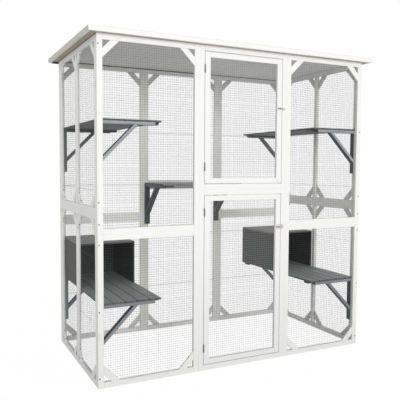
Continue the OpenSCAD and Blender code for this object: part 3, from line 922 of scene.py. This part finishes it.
# %% [markdown]
# From below, a black line under the back eave is painted shade, drawn as the felt's folded edge,
# and a narrow black strip along the top of the back wall is painted shadow in the gap between roof
# and wall. A brown bead along the top of each side wall is painted shade for the gap there. All
# four hang under the roof boards, so their places are read from the boards and the walls.

# %% Strips and beads of painted shade
EAVE_STRIP_INSET = mm(22)
WALL_STRIP_INSET = mm(20)
BEAD_WIDTH = mm(3)


def under_roof(bm, x, y, hang, gap):
    """A strip under the roof boards, from x[0] to x[1] and y[0] to y[1], with a gap above it."""
    low = Vector((min(x), min(y), roof_low.z - hang))
    high = Vector((max(x), max(y), roof_low.z - gap))
    bmesh.ops.create_cube(
        bm, size=1, matrix=Matrix.LocRotScale((low + high) / 2, None, high - low))


back_inner, back_outer = (corner.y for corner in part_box("back_centre_upper_frame"))
bm = bmesh.new()
# Painted shade: a black line under the back eave, drawn as folded felt.
under_roof(bm, (roof_low.x + EAVE_STRIP_INSET, roof_high.x - EAVE_STRIP_INSET),
           (back_outer + mm(1), roof_high.y - mm(1)), hang=mm(1.4), gap=mm(0.2))
# Painted shadow in the gap between the roof and the top of the back wall.
under_roof(bm, (WALL_STRIP_INSET - WALL_X, WALL_X - WALL_STRIP_INSET),
           (back_inner - BEAD_WIDTH, back_inner - mm(0.3)), hang=mm(4), gap=mm(0.3))
finish_piece("felt_edge_shade_strips", bm, black_felt_shade, body_of["roof_felt"])

bm = bmesh.new()
# Painted shade for the gap along the top of each side wall, as a brown bead.
for side in (-1, 1):
    under_roof(bm, (side * (WALL_X + mm(0.2)), side * (WALL_X + BEAD_WIDTH)),
               (WALL_Y, back_outer), hang=mm(4), gap=mm(0.2))
finish_piece("eave_gap_shade", bm, brown_gap_shade, "enclosure")
print("roof underside at", round(roof_low.z, 3), "m, back wall from", round(back_inner, 3), "to",
      round(back_outer, 3), "m")

# %% [markdown]
# A product photograph has a white sweep. Here the floor is pale, and to camera rays it is nearly
# pure white, while it lights the object as a pale grey floor would. It stays a little grey where
# the object shades it.

# %% Floor
FLOOR_HALF_SIDE = 8
GLOW_SHARE = 0.97
GLOW_STRENGTH = 1.01


def seen_in(tree, *rays):
    """A mask that is 1 for rays of these kinds."""
    path = add(tree, "ShaderNodeLightPath")
    mask = output(path, rays[0])
    for ray in rays[1:]:
        mask = output(add(
            tree, "ShaderNodeMath", {0: mask, 1: output(path, ray)}, operation="MAXIMUM"))
    return mask


sweep = bpy.data.materials.new("pale studio floor")
sweep.use_nodes = True
tree = sweep.node_tree
tree.nodes.clear()
share = add(tree, "ShaderNodeMath", {
    0: seen_in(tree, "Is Camera Ray", "Is Glossy Ray"), 1: GLOW_SHARE}, operation="MULTIPLY")
matt = add(tree, "ShaderNodeBsdfDiffuse", {"Color": colour("#E6E6E6")})
glow = add(tree, "ShaderNodeEmission", {"Color": colour("#FFFFFF"), "Strength": GLOW_STRENGTH})
both = add(tree, "ShaderNodeMixShader", {0: share, 1: matt, 2: glow})
add(tree, "ShaderNodeOutputMaterial", {"Surface": both})

bm = bmesh.new()
bmesh.ops.create_grid(bm, x_segments=1, y_segments=1, size=FLOOR_HALF_SIDE)
floor_mesh = bpy.data.meshes.new("floor")
bm.to_mesh(floor_mesh)
bm.free()
floor_mesh.materials.append(sweep)
floor = bpy.data.objects.new("floor", floor_mesh)
bpy.context.scene.collection.objects.link(floor)
floor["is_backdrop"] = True
print("the floor is", 2 * FLOOR_HALF_SIDE, "m square")

# %% [markdown]
# The world is white to the camera and in reflections, and a softer light to everything else. One
# large lamp in front keeps the light at a level where a colour renders about as it is written.

# %% World and lamp
WORLD_LIGHT = 0.66
LAMP_PLACE = (-1.6, -12.0, 3.7)
LAMP_TARGET = (0, 0, 1.0)
LAMP_SIDE = 4.0
LAMP_WATTS = 585

world = bpy.data.worlds.new("studio")
world.use_nodes = True
tree = world.node_tree
tree.nodes.clear()
shown = seen_in(tree, "Is Camera Ray", "Is Glossy Ray", "Is Transmission Ray")
level = add(tree, "ShaderNodeMapRange", {"Value": shown, "To Min": WORLD_LIGHT, "To Max": 1.0})
sky = add(tree, "ShaderNodeBackground", {"Color": colour("#FFFFFF"), "Strength": level})
add(tree, "ShaderNodeOutputWorld", {"Surface": sky})
bpy.context.scene.world = world

lamp = bpy.data.objects.new("key", bpy.data.lights.new("key", "AREA"))
lamp.data.size = LAMP_SIDE
lamp.data.energy = LAMP_WATTS
lamp.location = LAMP_PLACE
lamp.rotation_euler = (
    Vector(LAMP_TARGET) - Vector(LAMP_PLACE)).to_track_quat("-Z", "Y").to_euler()
bpy.context.scene.collection.objects.link(lamp)
bpy.context.scene.view_settings.view_transform = "Standard"
print("one lamp of", LAMP_WATTS, "W,", round(Vector(LAMP_PLACE).length, 1), "m from the middle")

# %% [markdown]
# The model's visual box is printed. The model's box may not grow past the CAD's.

# %% Sizes and the end
low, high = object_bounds()
print("visual box in metres:", [round(v, 4) for v in high - low])
